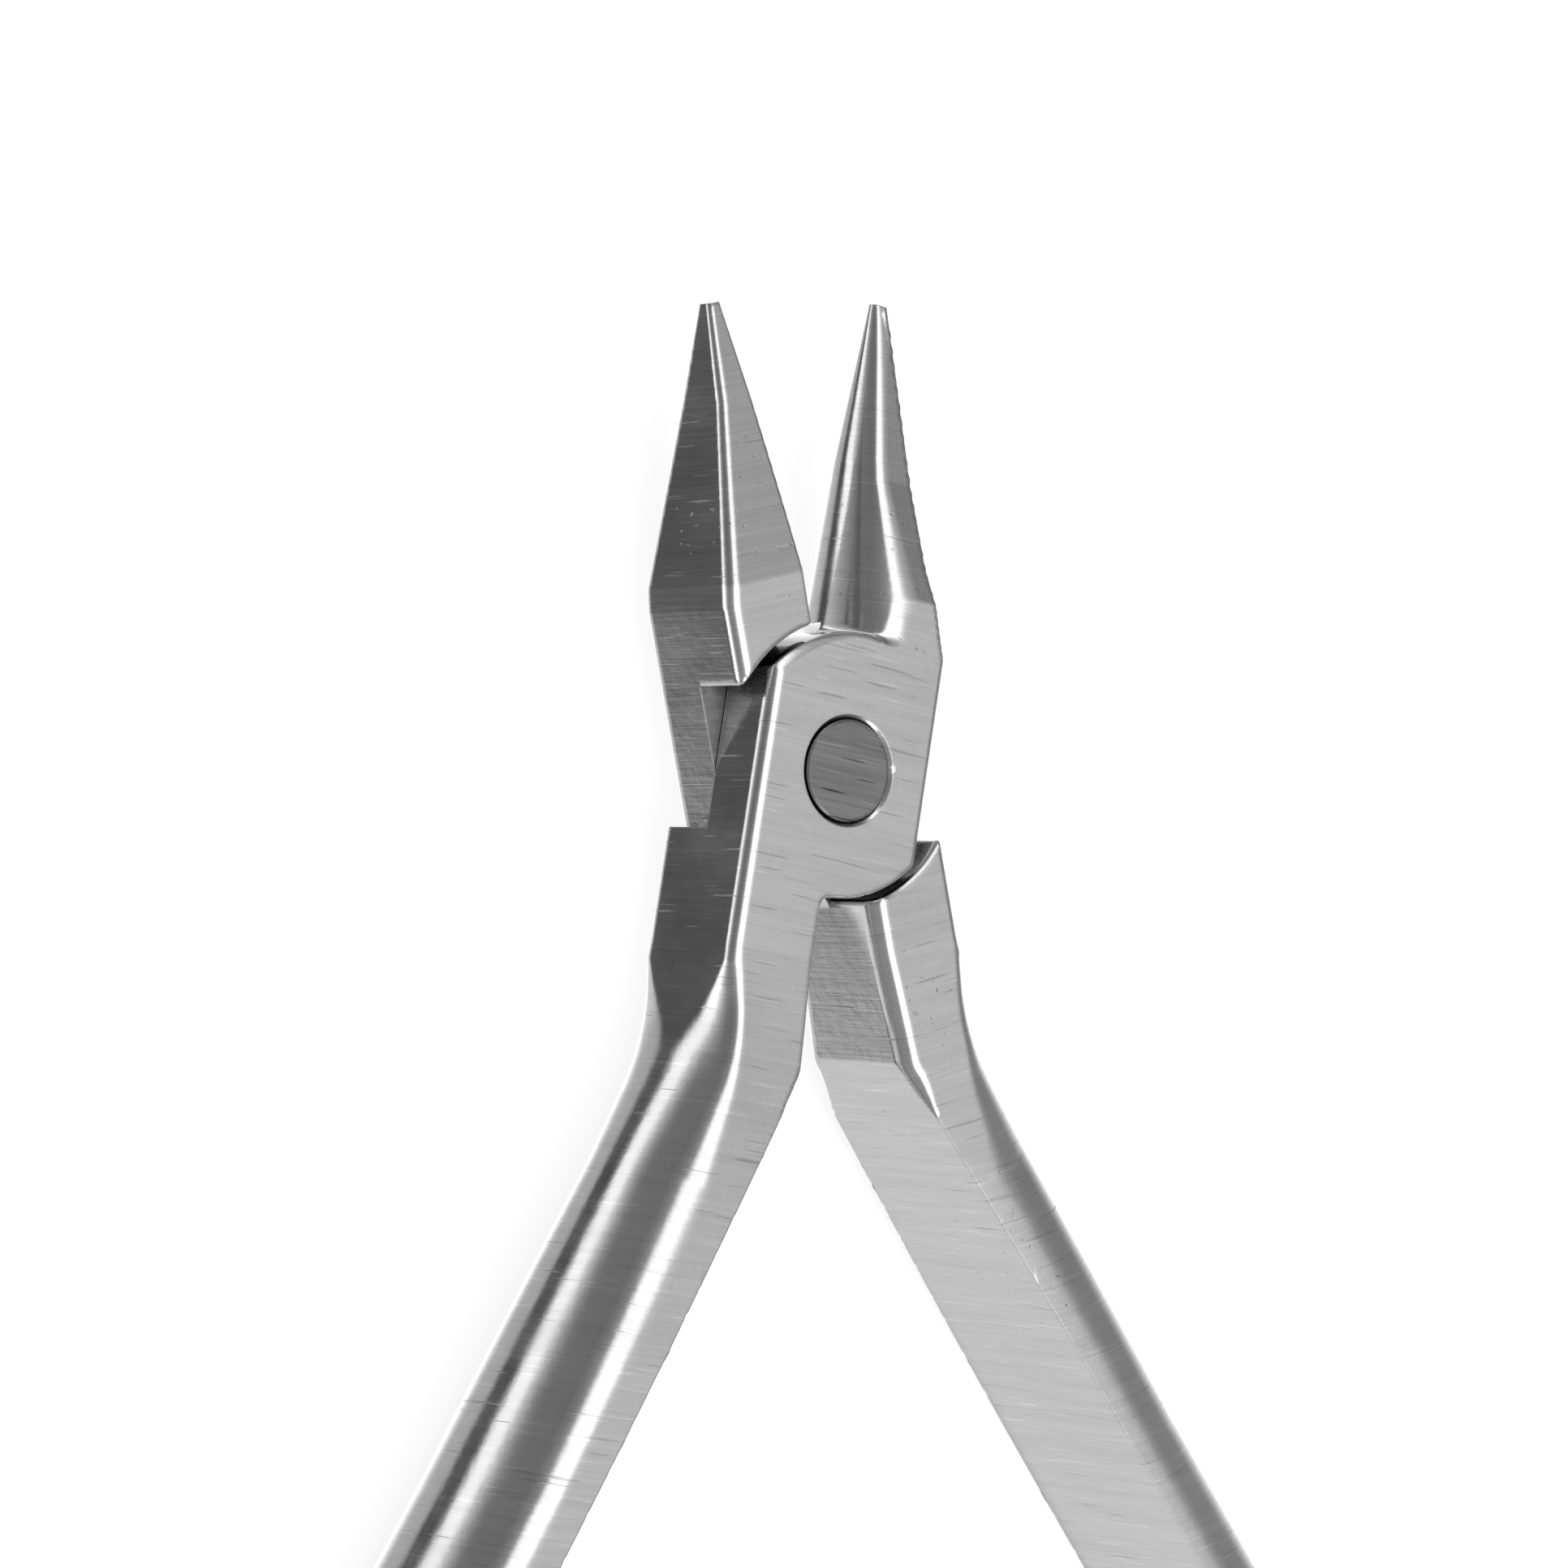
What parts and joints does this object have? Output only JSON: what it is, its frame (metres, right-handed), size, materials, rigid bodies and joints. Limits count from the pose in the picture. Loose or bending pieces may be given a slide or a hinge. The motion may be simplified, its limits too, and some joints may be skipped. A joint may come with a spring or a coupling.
{
  "type": "wire bending pliers",
  "caption": "Small steel pliers with one conical and one pyramidal beak, a flush lap joint and long bowed bare-metal handles, lying open.",
  "frame": {"origin": "on the pivot axis, at the joint's back face", "axes": "+X across the pliers to the right seen from the front, +Y along them to the beak tips, +Z out of the front face along the pivot axis"},
  "size_m": [0.089, 0.1281, 0.0118],
  "materials": {
    "lever_steel": "fine satin grinding across the levers",
    "pivot_steel": "dark satin"
  },
  "bodies": {
    "rear": {"rear_lever": "lever_steel", "pivot_post": "pivot_steel", "pivot_screw": "pivot_steel"},
    "front": {"front_lever": "lever_steel"}
  },
  "joints": [
    {"name": "lever_pivot", "type": "hinge", "parent": "rear", "child": "front", "pos_m": [0, 0, 0.004], "axis": [0, 0, 1], "range_deg": [-20, 22.5]}
  ]
}
